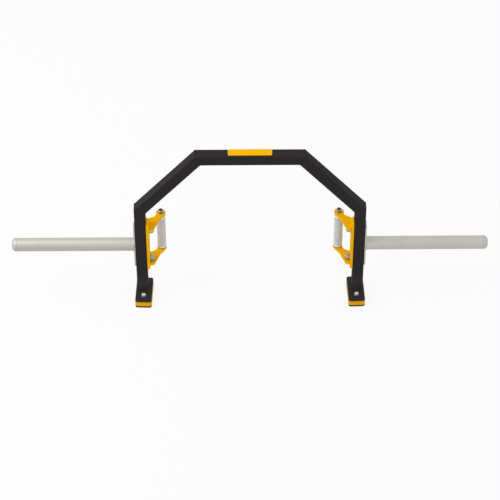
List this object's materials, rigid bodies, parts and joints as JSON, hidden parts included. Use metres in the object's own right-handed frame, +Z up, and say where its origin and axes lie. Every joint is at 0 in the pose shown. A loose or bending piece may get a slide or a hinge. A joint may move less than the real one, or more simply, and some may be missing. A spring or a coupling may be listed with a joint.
{
  "type": "open-ended trap bar",
  "caption": "Trap bar open at the back and front: a five-sided tube arch on feet, turning upright grips on shaped brackets and round loading sleeves out to the sides.",
  "frame": {"origin": "on the floor, midway between the two legs and midway between the front of the feet and the back of the bracket arms, which is the middle plane of the frame tubes", "axes": "+X along the sleeves to the lifter's one side, +Y to the side the grips stand on, away from the toes of the feet, +Z up"},
  "size_m": [1.692, 0.169, 0.7018],
  "materials": {
    "frame_black": "fine-textured black powder coat",
    "bracket_yellow": "satin yellow powder coat",
    "sleeve_steel": "satin hard chrome",
    "grip_steel": "satin, finely knurled",
    "zinc": "bright zinc plating",
    "black_steel": "black oxide",
    "bearing_polymer": "moulded",
    "nylon": "moulded",
    "pad_yellow": "moulded",
    "sole_rubber": "matte"
  },
  "bodies": {
    "frame": {"badge_plate": "bracket_yellow", "badge_rivet_left": "zinc", "badge_rivet_right": "zinc", "bracket_arm_lower_left": "bracket_yellow", "bracket_arm_lower_right": "bracket_yellow", "bracket_arm_upper_left": "bracket_yellow", "bracket_arm_upper_right": "bracket_yellow", "bracket_bolt_lower_left": "zinc", "bracket_bolt_lower_right": "zinc", "bracket_bolt_upper_left": "zinc", "bracket_bolt_upper_right": "zinc", "bracket_nut_lower_left": "zinc", "bracket_nut_lower_right": "zinc", "bracket_nut_upper_left": "zinc", "bracket_nut_upper_right": "zinc", "bracket_plate_left": "bracket_yellow", "bracket_plate_right": "bracket_yellow", "bracket_washer_lower_left": "zinc", "bracket_washer_lower_right": "zinc", "bracket_washer_upper_left": "zinc", "bracket_washer_upper_right": "zinc", "foot_bolt_left": "zinc", "foot_bolt_right": "zinc", "foot_nut_left": "zinc", "foot_nut_right": "zinc", "foot_pad_left": "pad_yellow", "foot_pad_right": "pad_yellow", "foot_plate_left": "frame_black", "foot_plate_right": "frame_black", "foot_sole_left": "sole_rubber", "foot_sole_right": "sole_rubber", "foot_washer_left": "zinc", "foot_washer_right": "zinc", "frame_diagonal_left": "frame_black", "frame_diagonal_right": "frame_black", "frame_leg_left": "frame_black", "frame_leg_right": "frame_black", "frame_top_tube": "frame_black", "grip_axle_left": "black_steel", "grip_axle_right": "black_steel", "grip_nut_insert_left": "nylon", "grip_nut_insert_right": "nylon", "grip_nut_left": "zinc", "grip_nut_right": "zinc", "grip_washer_left": "zinc", "grip_washer_right": "zinc", "sleeve_end_plug_left": "sleeve_steel", "sleeve_end_plug_right": "sleeve_steel", "sleeve_flange_left": "sleeve_steel", "sleeve_flange_right": "sleeve_steel", "sleeve_tube_left": "sleeve_steel", "sleeve_tube_right": "sleeve_steel"},
    "left_grip": {"grip_tube_left": "grip_steel", "grip_bush_upper_left": "bearing_polymer", "grip_bush_lower_left": "bearing_polymer"},
    "right_grip": {"grip_tube_right": "grip_steel", "grip_bush_upper_right": "bearing_polymer", "grip_bush_lower_right": "bearing_polymer"}
  },
  "joints": [
    {"name": "left_grip_spin", "type": "hinge", "parent": "frame", "child": "left_grip", "pos_m": [-0.3167, 0.0675, 0.247], "axis": [0, 0, 1], "continuous": true},
    {"name": "right_grip_spin", "type": "hinge", "parent": "frame", "child": "right_grip", "pos_m": [0.3167, 0.0675, 0.247], "axis": [0, 0, 1], "continuous": true}
  ]
}
